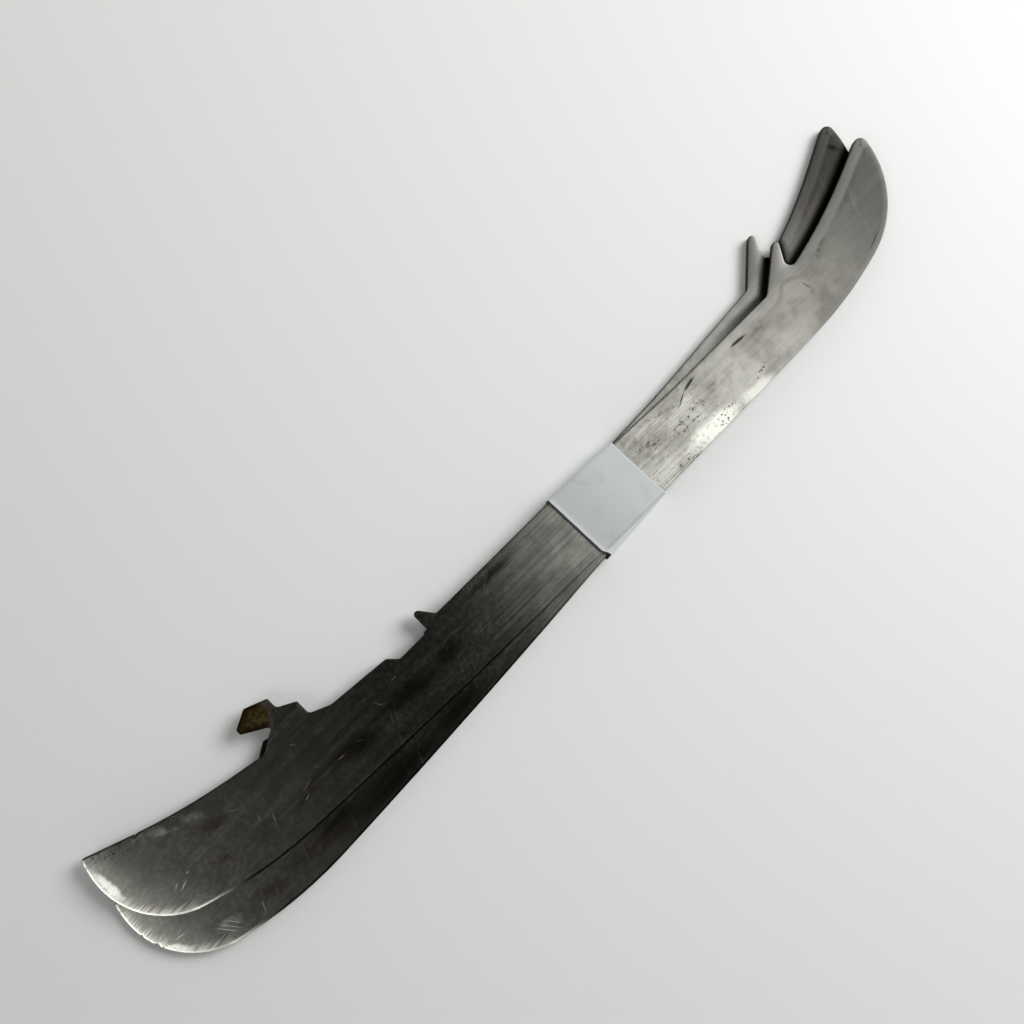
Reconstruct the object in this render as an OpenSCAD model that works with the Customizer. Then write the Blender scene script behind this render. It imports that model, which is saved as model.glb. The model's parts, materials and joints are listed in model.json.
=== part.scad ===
// A pair of ice hockey skate runners lying flat, one on the other, with a paper label band round both.
// Millimetres. Each runner is drawn in its own plane: x runs from the heel end to the toe,
// y from the running edge to the boot side, z through the steel.
// The origin is the middle of the band's underside, on the table, with +X towards the toe.

/* [Runner] */
// Length from the heel end to the toe's corner, before that is rounded
runner_len = 292.6; // [280:0.2:310]
// Thickness of the steel
runner_t = 3; // [2.5:0.1:4]
// Height of the plain edge ahead of the band
front_h = 18.4; // [16:0.2:19.6]
// Height of the plain edge behind the band
rear_h = 20.2; // [19.6:0.2:21]
// Heel end to the start of the taper between the two heights
taper_rear_x = 160; // [140:1:180]
// Heel end to the end of that taper
taper_front_x = 204; // [190:1:220]
// Rounding at both ends of the taper
taper_r = 400; // [100:10:500]

/* [Running edge] */
// Radius of the rocker that the runner stands on
rocker_r = 2740; // [2200:10:4000]
// Heel end to the rocker's lowest point
rocker_x = 150; // [140:1:160]
// Heel end to the rocker's rear end
rocker_rear_x = 54; // [53:0.5:60]
// Toe corner to the rocker's front end
rocker_front_x = 51.6; // [49:0.2:60]
// Radius of the hollow ground along the edge
hollow_r = 12.7; // [9:0.1:25]
// Flat left on each side of the hollow
hollow_land = 0.1; // [0.05:0.01:0.3]
// How far the hollow runs on past each end of the rocker, in degrees about its centre
hollow_run = 0.3; // [0.2:0.05:0.5]

/* [Heel] */
// Height of the heel's top corner
heel_h = 40.2; // [37:0.2:43]
// Heel end to the heel's top corner
heel_top_x = 1.6; // [0:0.1:3]
// Lean of the heel end from square, in degrees
heel_lean = 14; // [10:0.5:16]
// Radius of the heel
heel_r = 24; // [18:0.5:25]
// Rise of the edge into the heel, in degrees
heel_rise = 15; // [13:0.5:17]
// Heel end to where that rise starts
heel_rise_x = 38; // [36:0.5:42]
// Radius between the rocker and that rise
heel_blend_r = 130; // [60:5:135]
// Heel end to the bend in the heel's top edge
dip_x = 29.2; // [26:0.2:32]
// Height of that bend
dip_h = 30.5; // [29.6:0.1:31.2]
// Radius of that bend
dip_r = 200; // [50:10:220]

/* [Toe] */
// Height of the toe's corner
toe_h = 33.1; // [31:0.1:35]
// Lean of the toe end from square, in degrees
toe_lean = 7.6; // [5:0.2:11]
// Radius of the toe
toe_r = 28.5; // [20:0.5:29]
// Rise of the edge into the toe, in degrees
toe_rise = 15; // [13:0.5:17]
// Toe corner to where that rise starts
toe_rise_x = 35.3; // [33:0.1:37]
// Radius between the rocker and that rise
toe_blend_r = 103; // [60:1:120]
// Rounding of the toe tip
tip_r = 2; // [1:0.1:3]

/* [Front hook] */
// Toe corner to the bend behind the toe
scoop_x = 24.6; // [22:0.2:27]
// Height of that bend
scoop_h = 22.6; // [21.6:0.1:23.4]
// Radius of that bend
scoop_r = 150; // [40:5:160]
// Toe corner to the foot of the notch
notch_x = 42.2; // [40:0.2:44]
// Height of the notch's foot
notch_h = 18.6; // [17.6:0.1:19.6]
// Rounding in the notch
notch_r = 1.8; // [1:0.1:2]
// Length of the hook along its notch side, before its tip is rounded
prong_l = 13.8; // [12:0.2:15]
// Slope of the notch side, in degrees
prong_slope = 60.6; // [57:0.2:64]
// Toe corner to the foot of the hook's back
prong_x = 50.6; // [49:0.2:54]
// Rounding of the hook's tip
prong_r = 1; // [0.6:0.1:1.2]

/* [Spur and step] */
// Heel end to the spur's front foot
spur_x = 116.4; // [112:0.2:122]
// Length of the spur at its foot
spur_l = 4.8; // [4:0.1:6]
// Height of the spur, before its tip is rounded
spur_h = 26.4; // [25:0.2:28]
// Rounding of the spur's tip
spur_r = 1; // [0.5:0.1:1.1]
// Height of the ledge behind the spur
ledge_h = 18.3; // [17:0.1:19]
// Length of that ledge
ledge_l = 11; // [8:0.5:13]
// Length of the step behind the ledge
step_l = 2.8; // [2:0.1:4]
// Height of the step
step_h = 21; // [20.4:0.1:22]
// Roundings at the foot of the spur and of the step
foot_r = 1; // [0.5:0.1:1.2]

/* [Rear hook] */
// Heel end to the hook's slot
slot_x = 63.3; // [61:0.1:66]
// Height of the slot's inner end
slot_h = 29.6; // [29:0.1:30.2]
// Slope of the slot's floor and of the hook's underside, in degrees
slot_slope = 30; // [26:0.5:33]
// Length of the slot's floor
slot_l = 7.9; // [6.9:0.1:9]
// Length of the hook's underside
hook_l = 8.8; // [7.5:0.1:10]
// Width of the hook across its end
hook_end = 1.6; // [1.2:0.1:2.4]
// Height of the hook's crown
hook_h = 38.4; // [37:0.2:40]
// Slot's inner end to the hook's crown, towards the heel
crown_x = 2.2; // [1:0.1:3]
// Slot's inner end to the hook's nape, towards the toe
nape_x = 3.9; // [3.4:0.1:5]
// Height of the nape
nape_h = 36.1; // [35:0.1:37]
// Height of the saddle at the nape's foot
saddle_h = 32.6; // [31.6:0.1:33.6]
// Slot's inner end to the shoulder, towards the toe
shoulder_x = 9.2; // [8:0.1:11]
// Height of the shoulder
shoulder_h = 29.9; // [29:0.1:30.8]
// Height of the shoulder's foot
knee_h = 25.2; // [24.2:0.1:26.2]
// Shoulder to the end of the slope below it
brow_x = 6.2; // [5:0.2:8]
// Height at the end of that slope
brow_h = 22.6; // [22.2:0.1:23.2]
// Rounding of the hook's corners
hook_r = 0.6; // [0.3:0.1:0.7]
// Rounding of the hollows round the hook
hook_fillet = 1.6; // [0.8:0.1:2]
// Rounding of the slot's two inner corners
slot_r = 0.7; // [0.4:0.1:1]

/* [Pair] */
// Angle between the two runners, in degrees
fan_deg = 4.7; // [1:0.1:5]
// Heel end to the point that the runners swivel about
swivel_x = 179.5; // [165:0.5:190]
// Running edge to that point
swivel_y = -2.5; // [-6:0.5:12]

/* [Label band] */
// Width of the band, along the runners
band_w = 24; // [12:1:36]
// Heel end to the middle of the band
band_x = 172; // [150:1:190]
// Thickness of the band's paper
band_t = 0.2; // [0.1:0.05:0.4]
// Rounding inside the band's folds
fold_r = 0.3; // [0.2:0.1:1]
// Room between the band and the steel
band_clear = 0.4; // [0.3:0.05:1]
// How far the band slides each way
band_slide = 4; // [0:0.5:6]

/* [Hidden] */
steel = [0.46, 0.46, 0.45];
dark_steel = [0.36, 0.36, 0.35];
paper_white = [0.93, 0.94, 0.95];
// Past a surface that a cut goes through
over = 0.5;
// Longest side of the polygon that stands for a circle, and its fewest sides
chord = 2;
fewest = 64;
function sides(r) = max(fewest, ceil(2 * PI * r / chord));
// How far an arc reaches past the lines that it touches, so that it crosses them cleanly
function crossing(r) = 0.002 + r / 200000;

// Turns a point about the origin, a degrees anticlockwise.
function turn(p, a) = [p.x * cos(a) - p.y * sin(a), p.x * sin(a) + p.y * cos(a)];
// The point at distance d from p, in the direction a.
function go(p, a, d) = p + d * [cos(a), sin(a)];
// Where the line through p in direction a meets the line through q in direction b.
function meet(p, a, q, b) = go(p, a, cross(q - p, [cos(b), sin(b)]) / sin(b - a));
// A corner of the outline: its place and its rounding.
function corner(p, r) = [p.x, p.y, r];

// Height of the rocker and slope of its tangent at x
function rocker_y(x) = pow(x - rocker_x, 2) / (2 * rocker_r);
function rocker_slope(x) = atan((x - rocker_x) / rocker_r);
// The point at x on the line that touches the rocker at touch_x
function on_tangent(touch_x, x) = [x, rocker_y(touch_x) + (x - touch_x) * tan(rocker_slope(touch_x))];
// Height of the plain boot-side edge at x
function back_y(x) = lookup(x, [[taper_rear_x, rear_h], [taper_front_x, front_h]]);

// Running edge, from the heel's top corner to the toe tip
heel_top = [heel_top_x, heel_h];
heel_foot = on_tangent(rocker_rear_x, heel_rise_x);
heel_turn = meet(heel_top, 90 - heel_lean, heel_foot, -heel_rise);
toe_foot = on_tangent(runner_len - rocker_front_x, runner_len - toe_rise_x);
toe_top = [runner_len, toe_h];
toe_turn = meet(toe_top, 90 - toe_lean, toe_foot, toe_rise);
rear_slope = rocker_slope(rocker_rear_x);
front_slope = rocker_slope(runner_len - rocker_front_x);
rocker_turn = meet(heel_foot, rear_slope, toe_foot, front_slope);
running_side = [
    corner(heel_top, hook_r),
    corner(heel_turn, heel_r),
    corner(heel_foot, heel_blend_r),
    corner(rocker_turn, rocker_r),
    corner(toe_foot, toe_blend_r),
    corner(toe_turn, toe_r),
    corner(toe_top, tip_r),
];

// Front hook, from the bend behind the toe to the hook's back
notch = [runner_len - notch_x, notch_h];
front_side = [
    corner([runner_len - scoop_x, scoop_h], scoop_r),
    corner(notch, notch_r),
    corner(go(notch, prong_slope, prong_l), prong_r),
    corner([runner_len - prong_x, front_h], notch_r),
];

// Plain edge, spur, ledge and step
spur_foot = spur_x - spur_l;
step_foot = spur_foot - ledge_l;
step_top = step_foot - step_l;
middle_side = [
    corner([taper_front_x, front_h], taper_r),
    corner([taper_rear_x, rear_h], taper_r),
    corner([spur_x, rear_h], foot_r),
    corner([spur_foot, spur_h], spur_r),
    corner([spur_foot, ledge_h], foot_r),
    corner([step_foot, ledge_h], foot_r),
    corner([step_top, step_h], foot_r),
];

// Rear hook, from the slope below the shoulder to the heel's top edge
slot = [slot_x, slot_h];
slot_mouth = go(slot, 180 + slot_slope, slot_l);
hook_tip = go(slot, 180 - slot_slope, hook_l);
rear_side = [
    corner([slot_x + shoulder_x + brow_x, brow_h], hook_fillet),
    corner([slot_x + shoulder_x, knee_h], hook_fillet),
    corner([slot_x + shoulder_x, shoulder_h], hook_r),
    corner([slot_x + nape_x, saddle_h], hook_fillet),
    corner([slot_x + nape_x, nape_h], hook_r),
    corner([slot_x - crown_x, hook_h], hook_r),
    corner(go(hook_tip, 90, hook_end), hook_r),
    corner(hook_tip, hook_r),
    corner(slot, slot_r),
    corner(slot_mouth, slot_r),
    corner([dip_x, dip_h], dip_r),
];

runner_outline = concat(running_side, front_side, middle_side, rear_side);

// How far the two runners reach along Y, from the swivel, within the band's travel
band_ends = [band_x - band_w / 2 - band_slide, band_x + band_w / 2 + band_slide];
half_fan = fan_deg / 2;
reach_high = max([for (x = band_ends, a = [-half_fan, half_fan])
    turn([x - swivel_x, back_y(x) - swivel_y], a).y]);
reach_low = min([for (x = band_ends, a = [-half_fan, half_fan])
    turn([x - swivel_x, rocker_y(x) - swivel_y], a).y]);
loop_w = reach_high - reach_low + 2 * max(band_clear, fold_r);
loop_h = 2 * runner_t + band_clear;

// Place of the swivel's axis in the part's own frame
swivel = [swivel_x - band_x, -(reach_high + reach_low) / 2];
echo(swivel = swivel, loop_w = loop_w, loop_h = loop_h);

// The sliver between an outline's corner and the arc that rounds it.
module corner_sliver(before, at, after, r) {
    u = (before - at) / norm(before - at);
    v = (after - at) / norm(after - at);
    half = acos(u * v) / 2;
    inward = (u + v) / norm(u + v);
    centre = at + inward * r / sin(half);
    tangent = r / tan(half);
    difference() {
        polygon([at + u * tangent, at - inward * over, at + v * tangent, centre]);
        translate(centre) circle(r + crossing(r), $fn = sides(r));
    }
}

// A plate of thickness h with each corner of its outline rounded. The outline runs anticlockwise.
module rounded_plate(outline, h) {
    n = len(outline);
    at = [for (c = outline) [c.x, c.y]];
    before = [for (i = [0 : n - 1]) at[(i + n - 1) % n]];
    after = [for (i = [0 : n - 1]) at[(i + 1) % n]];
    bend = [for (i = [0 : n - 1]) cross(at[i] - before[i], after[i] - at[i])];
    difference() {
        union() {
            linear_extrude(h) polygon(at);
            for (i = [0 : n - 1])
                if (bend[i] < 0)
                    linear_extrude(h) corner_sliver(before[i], at[i], after[i], outline[i].z);
        }
        for (i = [0 : n - 1])
            if (bend[i] > 0)
                translate([0, 0, -over])
                    linear_extrude(h + 2 * over) corner_sliver(before[i], at[i], after[i], outline[i].z);
    }
}

// The groove ground along the rocker, between two lands.
module hollow() {
    half_w = runner_t / 2 - hollow_land;
    stand_off = sqrt(pow(hollow_r, 2) - pow(half_w, 2));
    translate([rocker_x, rocker_r, runner_t / 2])
        rotate(rear_slope - hollow_run - 90)
            rotate_extrude(angle = front_slope - rear_slope + 2 * hollow_run, $fn = sides(rocker_r))
                translate([rocker_r + stand_off, 0])
                    circle(hollow_r, $fn = 4 * sides(hollow_r));
}

module runner() {
    difference() {
        rounded_plate(runner_outline, runner_t);
        hollow();
    }
}

// A runner turned about the swivel's axis, at height z.
module fanned(a, z) {
    translate([swivel.x, swivel.y, z]) rotate(a) translate([-swivel_x, -swivel_y]) runner();
}

module lower_runner() {
    color(dark_steel) fanned(half_fan, band_t);
}

module upper_runner() {
    color(steel) fanned(-half_fan, band_t + runner_t);
}

// A bar of length l along X, w wide and h high, with its four long edges rounded. It stands on z.
module rounded_bar(l, w, h, r, z) {
    section = [[-w / 2, 0, r], [w / 2, 0, r], [w / 2, h, r], [-w / 2, h, r]];
    translate([-l / 2, 0, z]) rotate([90, 0, 90]) rounded_plate(section, l);
}

module label_band() {
    color(paper_white)
        difference() {
            rounded_bar(band_w, loop_w + 2 * band_t, loop_h + 2 * band_t, fold_r + band_t, 0);
            rounded_bar(band_w + 2 * over, loop_w, loop_h, fold_r, band_t);
        }
}

lower_runner();
upper_runner();
label_band();
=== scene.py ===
"""Dresses a banded pair of ice hockey skate runners: two ground steel plates in a loose paper band."""

import json
from math import cos, hypot, pi, radians, sin

import bpy
import numpy as np
from bpy.props import FloatProperty, FloatVectorProperty, PointerProperty
from mathutils import Matrix, Vector
from mathutils.geometry import delaunay_2d_cdt


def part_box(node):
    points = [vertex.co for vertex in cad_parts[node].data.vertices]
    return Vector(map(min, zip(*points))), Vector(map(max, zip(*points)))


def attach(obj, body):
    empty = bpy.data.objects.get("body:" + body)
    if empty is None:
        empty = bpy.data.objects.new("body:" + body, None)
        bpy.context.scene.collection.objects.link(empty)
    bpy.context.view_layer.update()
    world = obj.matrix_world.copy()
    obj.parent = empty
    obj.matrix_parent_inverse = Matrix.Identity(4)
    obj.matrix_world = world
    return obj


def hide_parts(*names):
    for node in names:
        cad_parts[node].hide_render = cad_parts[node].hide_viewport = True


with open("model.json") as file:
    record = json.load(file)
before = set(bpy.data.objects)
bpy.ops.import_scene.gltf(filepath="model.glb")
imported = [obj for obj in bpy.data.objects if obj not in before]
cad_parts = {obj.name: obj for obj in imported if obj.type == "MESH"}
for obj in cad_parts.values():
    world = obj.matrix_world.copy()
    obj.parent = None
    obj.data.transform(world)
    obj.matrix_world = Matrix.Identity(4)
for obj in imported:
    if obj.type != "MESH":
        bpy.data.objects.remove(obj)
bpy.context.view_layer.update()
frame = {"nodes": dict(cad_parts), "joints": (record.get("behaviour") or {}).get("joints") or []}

bl_info = {
    "name": "Skate Runner Pair",
    "version": (1, 0, 0),
    "blender": (4, 5, 0),
    "location": "View3D > Sidebar > Runners",
    "description": "Makes two stacked hockey skate runners, their paper band and a plain studio",
    "category": "Object",
}

MM = 0.001

# Millimetres beyond any length on the part
FAR_MM = 1000.0

# Nicks knocked into each runner's edge: place in its own millimetres, and size against the usual nick
NICKS = {"upper_runner": [(16.1, 34.7, 1.6)], "lower_runner": [(-0.8, 28.8, 0.9), (2.9, 23.8, 0.9)]}

# The swivel that the pair fans about, in a runner's own axes:
# along from the heel end, up from the running edge
SWIVEL_OWN = Vector((179.5, -2.5, 0.0)) * MM
FAN = next(joint for joint in frame["joints"] if joint["name"] == "fan")
SWIVEL = Vector(FAN["pos_m"][:2] + [0.0])
HALF_FAN = radians(FAN["range_deg"][1]) / 2

# How far along from the heel end its worn edge reaches, and the film on the boot side's rounded edge
HEEL_REACH = 14 * MM
FILM_REACH = 130 * MM

# The running edge is ground where the outline faces down: the share of straight down where that starts,
# and the share over which it grows to full
RUNNING_FROM = 0.7
RUNNING_SPAN = 0.25

# Behind this place the boot side's roll-off is at its least, and it grows to full over this length
ROLL_FROM = 200 * MM
ROLL_SPAN = 40 * MM
ROLL_LEAST = 0.25

# Rows of points on the lower runner beside the upper one's edge: millimetres from it, and their spacing
SEAM_ROWS_MM = (0.2, 1.0, 2.0, 3.2)
SEAM_STEP = 0.5 * MM

# The band's laps on the running side: where the inner one ends and the outer one ends above the floor,
# and how far apart they lie as a share of the paper
INNER_LAP = 4.4 * MM
OUTER_LAP = 1.3 * MM
LAP_GAP = 1.2

# The band's crease from its running side, at the heel-side and toe-side edges
CREASE_HEEL = 2.35 * MM
CREASE_TOE = 1.35 * MM

# How far below the band's top its lift and pull fade in, and over what depth
TOP_BELOW = 1.2 * MM
TOP_DEPTH = 1.0 * MM

# How far inside the crease the pull starts, over what width it grows, and how fast it dies out lengthwise
PULL_FROM = 0.4 * MM
PULL_SPAN = 1.5 * MM
PULL_POWER = 6

# Parts of each bend in the band's section, and of each straight stretch
# by the number of the point before it
BEND_PARTS = 5
STRETCH_PARTS = {0: 5, 6: 14, 12: 7, 18: 28, 24: 6}

# Crease distance given to points that aren't on the band's top
OFF_TOP_MM = 10.0

# Order of a runner's materials
FACE, CUT_WALL, WHEEL_WALL = range(3)

# The floor lies this far below the band, so that their faces don't coincide
FLOOR_DROP = 0.05 * MM

# The camera's sensor width and the nearest thing that it shows
SENSOR_MM = 36.0
NEAREST_SEEN = 10 * MM

# What the lamps point at, and the room's faint tint
LIGHT_AIM = Vector((0.08, 0.0, 0.0))
ROOM_TINT = (0.985, 1.0, 0.985, 1.0)

# The room's light: tilt towards the toes, lean towards the boot side, outer and inner reach in degrees,
# and the change in light outside and within
ROOM_LIGHT = {
    "walls": (0.0, 0.0, 80.0, 50.0, 0.45, 0.0, "ADD"),
    "toe_panel": (11.0, -5.0, 12.0, 3.6, 0.0, 2.0, "ADD"),
    "heel_panel": (-34.0, 0.0, 16.0, 4.8, 0.0, 2.25, "ADD"),
    "toe_card": (30.0, 2.0, 20.0, 6.0, 1.0, 0.15, "MULTIPLY"),
    "middle_card": (-10.0, 0.0, 19.0, 5.7, 1.0, 0.03, "MULTIPLY"),
}


def linear(hex_colour):
    """Turns an sRGB hex colour into linear red, green and blue, with full alpha."""
    shares = [int(hex_colour[i:i + 2], 16) / 255 for i in (1, 3, 5)]
    return (*(s / 12.92 if s <= 0.04045 else ((s + 0.055) / 1.055) ** 2.4 for s in shares), 1.0)


def length(name, description, default_mm):
    """A length property, given in millimetres."""
    return FloatProperty(name=name, description=description, default=default_mm * MM, min=0.0,
                         unit="LENGTH", subtype="DISTANCE", precision=5)


def colour(name, description, hex_colour):
    """A colour property, given as sRGB hex."""
    return FloatVectorProperty(name=name, description=description, default=linear(hex_colour),
                               size=4, min=0.0, max=1.0, subtype="COLOR")


class RunnerSizes(bpy.types.PropertyGroup):
    """Sizes and colours of the two steel runners"""

    edge_round: length("Edge rounding", "Radius of the plate's tumbled edges", 0.16)
    keen_round: length("Keen rounding", "Radius left on the sharpened running edge", 0.04)
    hollow: length("Hollow", "Depth of the ground hollow along the running edge", 0.077)
    roll_width: length("Roll-off width", "How far in the face rolls off at the boot side", 2.8)
    roll_depth: length("Roll-off depth", "How far down the face rolls off at the boot side", 0.09)
    heel_width: length("Heel wear width", "How far the worn heel end rounds off, measured inwards", 10.0)
    heel_depth: length("Heel wear depth", "How far the worn heel end rounds off, measured in height", 0.25)
    nick_width: length("Nick width", "Width of a usual nick knocked into the edge", 0.9)
    nick_depth: length("Nick depth", "Depth of a usual nick knocked into the edge", 0.5)
    outline_step: length("Outline step", "Usual spacing of the points round the plate's outline", 0.9)
    face_step: length("Face step", "Spacing of the points inside the plate's face", 2.5)
    # This colour also paints highlights along the running edge ahead of the band
    bright: colour("Bright steel", "Steel rubbed bright at the heel and ahead of the band", "#EFEDE4")
    clean: colour("Clean steel", "Freshly ground steel", "#C7C5BD")
    worn: colour("Worn steel", "Handled steel under its grey film", "#A4A29B")
    satin: colour("Satin steel", "Duller steel towards the toe's tip", "#6E6C68")
    # The dark film is partly painted dark reflection; this colour also paints the shade line inside the
    # rolled-off boot edge
    dark: colour("Dark film", "Oil and oxide film on stored steel", "#42403B")
    rust: colour("Rust", "Thin olive-amber rust on the rear hook", "#4A4522")


class BandSizes(bpy.types.PropertyGroup):
    """Sizes and colours of the paper band"""

    paper: length("Paper", "Thickness of the paper", 0.12)
    boot_bend: length("Boot-side bend", "Bend radius at the boot side's corners", 0.8)
    run_bend: length("Running-side bend", "Bend radius at the running side's corners", 0.45)
    boot_pinch: length("Boot-side pinch", "How far the toe-side end draws in on the boot side", 1.75)
    run_pinch: length("Running-side pinch", "How far the toe-side end draws in on the running side", 0.55)
    slack: length("Slack", "How far the heel-side end stays inside the sleeve's width", 0.19)
    lift: length("Lift", "How far the heel-side edge of the top stands off the steel", 0.16)
    lift_reach: length("Lift reach", "How far in from that edge the lift begins", 6.0)
    slope: length("Slope", "How far the paper drops beyond its crease", 0.28)
    pull: length("Pull", "How far the heel-side edge is drawn back at its running-side corner", 1.1)
    white: colour("Paper white", "Coated label paper", "#C6CACB")
    # Also painted light on the sloped strip beyond the crease and a painted highlight on the toe-side cut
    # edge
    bare_and_lit: colour("Bare paper", "Paper rubbed clean beyond its crease and beside its cut edges", "#D9DCDC")
    soil: colour("Paper soil", "Grey handling marks on the paper", "#A3A4A3")
    # Dark grime along the heel-side cut edge, with painted shadow under the lifted edge
    grime_and_shadow: colour("Edge grime", "Dark dirt along the heel-side cut edge", "#12110F")


class StageSizes(bpy.types.PropertyGroup):
    """Floor, light and camera"""

    floor_size: length("Floor", "Side of the square floor", 6000.0)
    floor_white: colour("Floor white", "Painted pale board", "#E9EAE8")
    lens: FloatProperty(name="Lens", description="Focal length on a 36 mm sensor", default=45.7,
                        min=1.0, unit="CAMERA")
    camera_at: FloatVectorProperty(name="Camera place", description="Where the camera stands",
                                   default=(-31.66 * MM, 5.82 * MM, 360.16 * MM), size=3,
                                   unit="LENGTH", subtype="TRANSLATION")
    camera_aim: FloatVectorProperty(name="Camera aim", description="The point in the middle of the view",
                                    default=(-20.16 * MM, 16.55 * MM, 0.0), size=3,
                                    unit="LENGTH", subtype="TRANSLATION")
    image_up: FloatVectorProperty(name="Image up", description="Direction that points up in the view",
                                  default=(0.731, 0.682, 0.0), size=3, subtype="DIRECTION")
    key_power: FloatProperty(name="Key light", description="Power of the large soft light beyond the toes",
                             default=7.0, min=0.0, unit="POWER")
    fill_power: FloatProperty(name="Fill light", description="Power of the weak light on the boot side",
                              default=0.6, min=0.0, unit="POWER")
    ceiling: FloatProperty(name="Ceiling", description="Brightness of the room's even light", default=0.12,
                           min=0.0)


def add(tree, kind, sockets=None, out=0, **settings):
    """Adds a shader node with its settings, sets or links its sockets, and gives one of its outputs."""
    node = tree.nodes.new("ShaderNode" + kind)
    for name, value in settings.items():
        setattr(node, name, value)
    for socket, source in (sockets or {}).items():
        if isinstance(source, bpy.types.NodeSocket):
            tree.links.new(source, node.inputs[socket])
        else:
            node.inputs[socket].default_value = source
    return node.outputs[out] if node.outputs else None


def new_material(name):
    """An empty node material, with its tree."""
    material = bpy.data.materials.new(name)
    material.use_nodes = True
    material.node_tree.nodes.clear()
    return material, material.node_tree


def surface(tree, tone, roughness, height, strength, depth_mm, **more):
    """Ends a material with its colour, its roughness and a fine relief of some depth in millimetres."""
    bump = add(tree, "Bump", {"Height": height, "Strength": strength, "Distance": depth_mm * MM})
    sockets = {"Base Color": tone, "Roughness": roughness, "Normal": bump, **more}
    shine = add(tree, "BsdfPrincipled", sockets)
    add(tree, "OutputMaterial", {"Surface": shine})


# Marks on the steel in its own millimetres: along from the heel end, up from the running edge,
# half length, half width and turn in degrees
UPPER_MARKS = {
    "smear": [(97.0, 10.0, 19.0, 4.6, -8.0), (77.0, 9.5, 10.0, 5.0, -10.0), (111.0, 10.0, 9.0, 4.0, 0.0),
              (134.0, 17.2, 13.0, 1.8, 0.0)],
    "brown": [(60.0, 10.6, 7.0, 2.4, 10.0), (70.0, 10.6, 6.0, 2.6, -8.0), (34.0, 22.0, 7.0, 2.0, -24.0),
              (29.0, 13.5, 5.0, 1.6, -20.0)],
    "stain": [(198.7, 15.4, 4.0, 1.4, 0.0), (206.5, 10.4, 4.0, 2.0, 0.0), (200.0, 9.0, 6.0, 2.4, 0.0),
              (213.7, 11.4, 3.4, 2.2, 20.0), (190.0, 12.0, 4.5, 5.0, 0.0), (234.0, 13.0, 6.0, 2.6, 12.0),
              (262.0, 18.0, 5.0, 1.4, 32.0)],
    "pale": [(249.0, 11.0, 8.0, 4.0, 35.0), (250.0, 18.6, 2.6, 1.8, 0.0), (24.0, 30.2, 17.0, 2.2, -23.0),
             (236.0, 5.0, 7.0, 3.0, 10.0)],
    # The first two bright marks are a painted highlight along the running edge; the third is rubbed-bright
    # steel at the heel
    "bright": [(207.0, 2.8, 13.0, 4.2, -2.0), (222.0, 2.0, 8.0, 2.6, -4.0),
               (2.2, 29.5, 7.0, 2.0, -82.0)],
    "pitted": [(212.5, 2.8, 8.0, 2.8, 2.0), (203.5, 9.6, 9.0, 3.4, 6.0), (195.5, 1.6, 8.5, 2.4, 6.0),
               (10.0, 35.6, 10.0, 3.2, -25.0), (226.0, 5.0, 4.0, 1.4, 20.0), (190.0, 12.0, 5.0, 3.0, 0.0)],
    "rust": [(60.2, 34.6, 7.0, 6.2, -15.0)],
    "scratch": [(59.2, 11.6, 3.4, 0.14, 12.0), (71.0, 10.5, 1.6, 0.16, -4.0), (57.0, 9.2, 1.5, 0.3, 14.0),
                (17.0, 15.8, 1.8, 0.28, 20.0), (15.4, 17.0, 1.4, 0.2, 28.0), (20.0, 17.6, 1.0, 0.22, 8.0),
                (40.0, 21.0, 2.2, 0.14, -35.0), (88.0, 14.0, 2.6, 0.13, -60.0),
                (47.0, 12.0, 2.4, 0.12, 64.0), (44.0, 14.6, 1.8, 0.12, 70.0),
                (64.0, 22.0, 2.0, 0.12, -48.0), (96.0, 15.8, 1.2, 0.2, 8.0)],
    # The third nick mark is painted shade inside the nick knocked into the edge
    "nick": [(251.8, 13.0, 1.8, 0.18, -75.0), (274.0, 8.6, 3.6, 0.15, 22.0), (16.9, 34.3, 0.8, 0.4, -18.0),
             (209.6, 16.3, 3.2, 0.65, 12.0), (205.1, 14.6, 3.0, 0.26, 29.0), (227.5, 15.2, 3.6, 0.6, -3.0)],
}

# The second nick mark is a painted shadow on the rear hook, seen through the upper runner's slot
LOWER_MARKS = {
    "smear": [(76.0, 5.0, 30.0, 7.0, -4.0), (60.0, 9.0, 14.0, 4.0, -12.0), (288.0, 26.0, 2.8, 1.1, -76.0),
              (104.0, 4.0, 16.0, 5.0, 0.0)],
    "brown": [(52.0, 8.0, 16.0, 3.4, -12.0), (33.0, 10.5, 9.0, 3.0, -20.0), (272.0, 22.0, 12.0, 2.2, 24.0)],
    "stain": [(14.0, 16.0, 6.0, 2.0, -40.0)],
    "pale": [(8.0, 15.0, 9.0, 1.6, -36.0), (19.0, 13.0, 4.0, 2.0, -30.0)],
    "bright": [(3.0, 20.0, 7.0, 2.2, -50.0)],
    "pitted": [(195.0, 1.6, 9.0, 1.8, 6.0), (2.0, 23.0, 6.0, 1.6, -58.0)],
    "rust": [(57.0, 33.0, 2.6, 2.4, -15.0)],
    "scratch": [(7.1, 20.8, 2.6, 0.18, -14.0), (16.5, 12.6, 4.2, 0.2, -56.0),
                (17.9, 12.4, 4.0, 0.18, -56.0), (19.4, 12.6, 3.4, 0.16, -56.0),
                (28.0, 9.0, 2.4, 0.14, 60.0)],
    "nick": [(255.0, 20.0, 1.0, 0.3, 60.0), (60.0, 37.0, 6.0, 4.4, 14.0)],
}

# How much of a mark's width fades out, how far its outline wavers in millimetres, and how strong it is
MARK_FADES = {"smear": (0.9, 3.0, 0.8), "brown": (0.9, 3.0, 0.5), "stain": (0.9, 3.0, 0.7),
              "pale": (0.9, 4.0, 0.8), "bright": (0.7, 3.0, 1.0), "pitted": (0.7, 2.0, 1.0),
              "rust": (0.35, 2.0, 1.0), "scratch": (0.8, 0.2, 1.0), "nick": (0.6, 0.3, 0.9)}

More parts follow.
